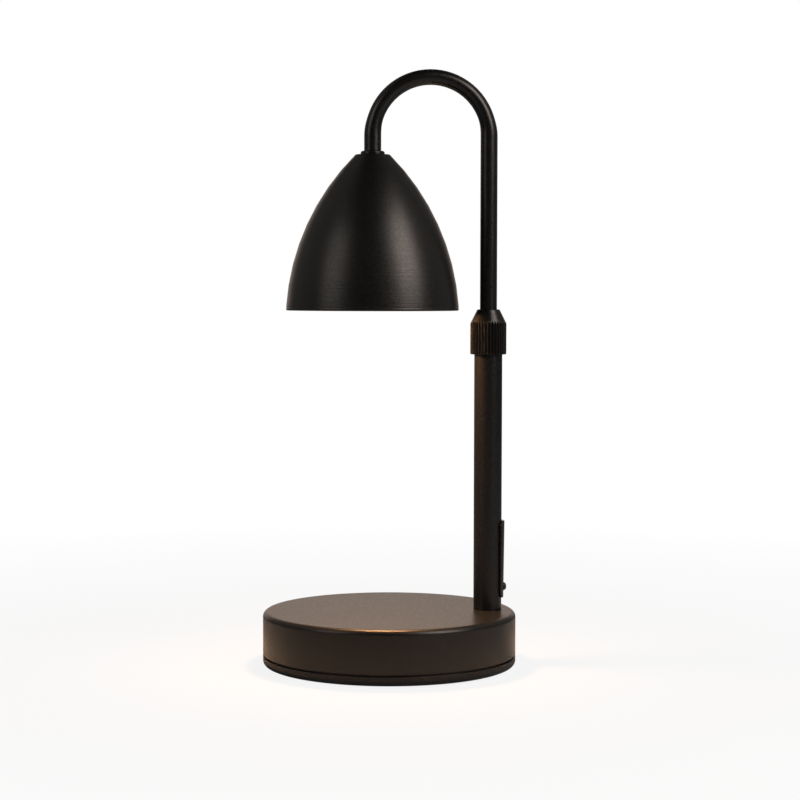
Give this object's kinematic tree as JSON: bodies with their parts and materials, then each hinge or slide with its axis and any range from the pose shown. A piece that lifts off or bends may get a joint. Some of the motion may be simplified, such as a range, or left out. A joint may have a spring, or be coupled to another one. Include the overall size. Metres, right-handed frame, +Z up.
{
  "type": "candle warmer lamp",
  "caption": "Weighted round base with a post at its edge, a knurled clamp collar, a sliding and turning crook arm, and a bell shade with a twist-lock halogen lamp over a candle.",
  "frame": {"origin": "centre of the round base at the table surface", "axes": "+Z up, +X from the base's centre towards the post, +Y to the back, where the cord enters"},
  "size_m": [0.1396, 0.1409, 0.329],
  "materials": {
    "powder_coat": "fine satin powder coat, near black",
    "dark_plastic": "moulded, light grain",
    "black_screw": "black oxide",
    "cast_iron": "as cast",
    "zinc_steel": "bright zinc plate",
    "rubber": "soft matt",
    "nylon": "natural nylon",
    "brass": "bright",
    "lead_cover": "heat-proof silicone cover",
    "ceramic": "unglazed ceramic",
    "reflector_glass": "coated inside",
    "clear_glass": "clear",
    "tungsten": "drawn wire",
    "pin_metal": "nickel plate"
  },
  "bodies": {
    "base": {"base_shell": "powder_coat", "base_weight": "cast_iron", "bottom_cover": "dark_plastic", "cover_screws": "zinc_steel", "rubber_feet": "rubber", "cord_bushing": "dark_plastic", "terminal_block": "nylon", "terminal_barrels": "brass", "terminal_screws": "zinc_steel", "terminal_fixing_screw": "zinc_steel", "post_tube": "powder_coat", "post_plug": "zinc_steel", "post_stud": "zinc_steel", "post_washer": "zinc_steel", "post_lock_washer": "zinc_steel", "post_nut": "zinc_steel", "wiring_cover": "powder_coat", "wiring_cover_screw": "black_screw", "post_ferrule": "brass", "slack_lead": "lead_cover", "base_leads": "lead_cover"},
    "collet": {"grip_collet": "nylon"},
    "collar": {"lock_collar": "powder_coat"},
    "slider": {"guide_bush": "nylon"},
    "arm": {"arm_tube": "powder_coat", "bush_clips": "zinc_steel", "neck_ring": "powder_coat", "neck_nipple": "zinc_steel", "shade": "powder_coat", "holder_bracket": "zinc_steel", "neck_washer": "zinc_steel", "neck_nut": "zinc_steel", "lampholder_body": "ceramic", "lampholder_face": "ceramic", "lampholder_contacts": "brass", "lampholder_screws": "zinc_steel", "arm_leads": "lead_cover"},
    "bulb": {"lamp_base": "ceramic", "lamp_reflector": "reflector_glass", "lamp_lens": "clear_glass", "lamp_capsule": "clear_glass", "lamp_filament": "tungsten", "lamp_pins": "pin_metal"}
  },
  "joints": [
    {"name": "collet_lift", "type": "slide", "parent": "base", "child": "collet", "axis": [0, 0, 1], "range_m": [0, 0.001]},
    {"name": "collar_turn", "type": "hinge", "parent": "collet", "child": "collar", "pos_m": [0.0547, 0, 0.185], "axis": [0, 0, 1], "range_deg": [0, 360]},
    {"name": "arm_slide", "type": "slide", "parent": "base", "child": "slider", "axis": [0, 0, 1], "range_m": [-0.0889, 0], "deforming": ["slack_lead"]},
    {"name": "arm_swivel", "type": "hinge", "parent": "slider", "child": "arm", "pos_m": [0.0547, 0, 0.1617], "axis": [0, 0, 1], "range_deg": [-180, 180]},
    {"name": "bulb_twist", "type": "hinge", "parent": "arm", "child": "bulb", "pos_m": [-0.0095, 0, 0.249], "axis": [0, 0, 1], "range_deg": [-30, 0]}
  ],
  "couplings": [
    {"joint": "collar_turn", "follows": "collet_lift", "rad_per_m": 6283.2}
  ]
}
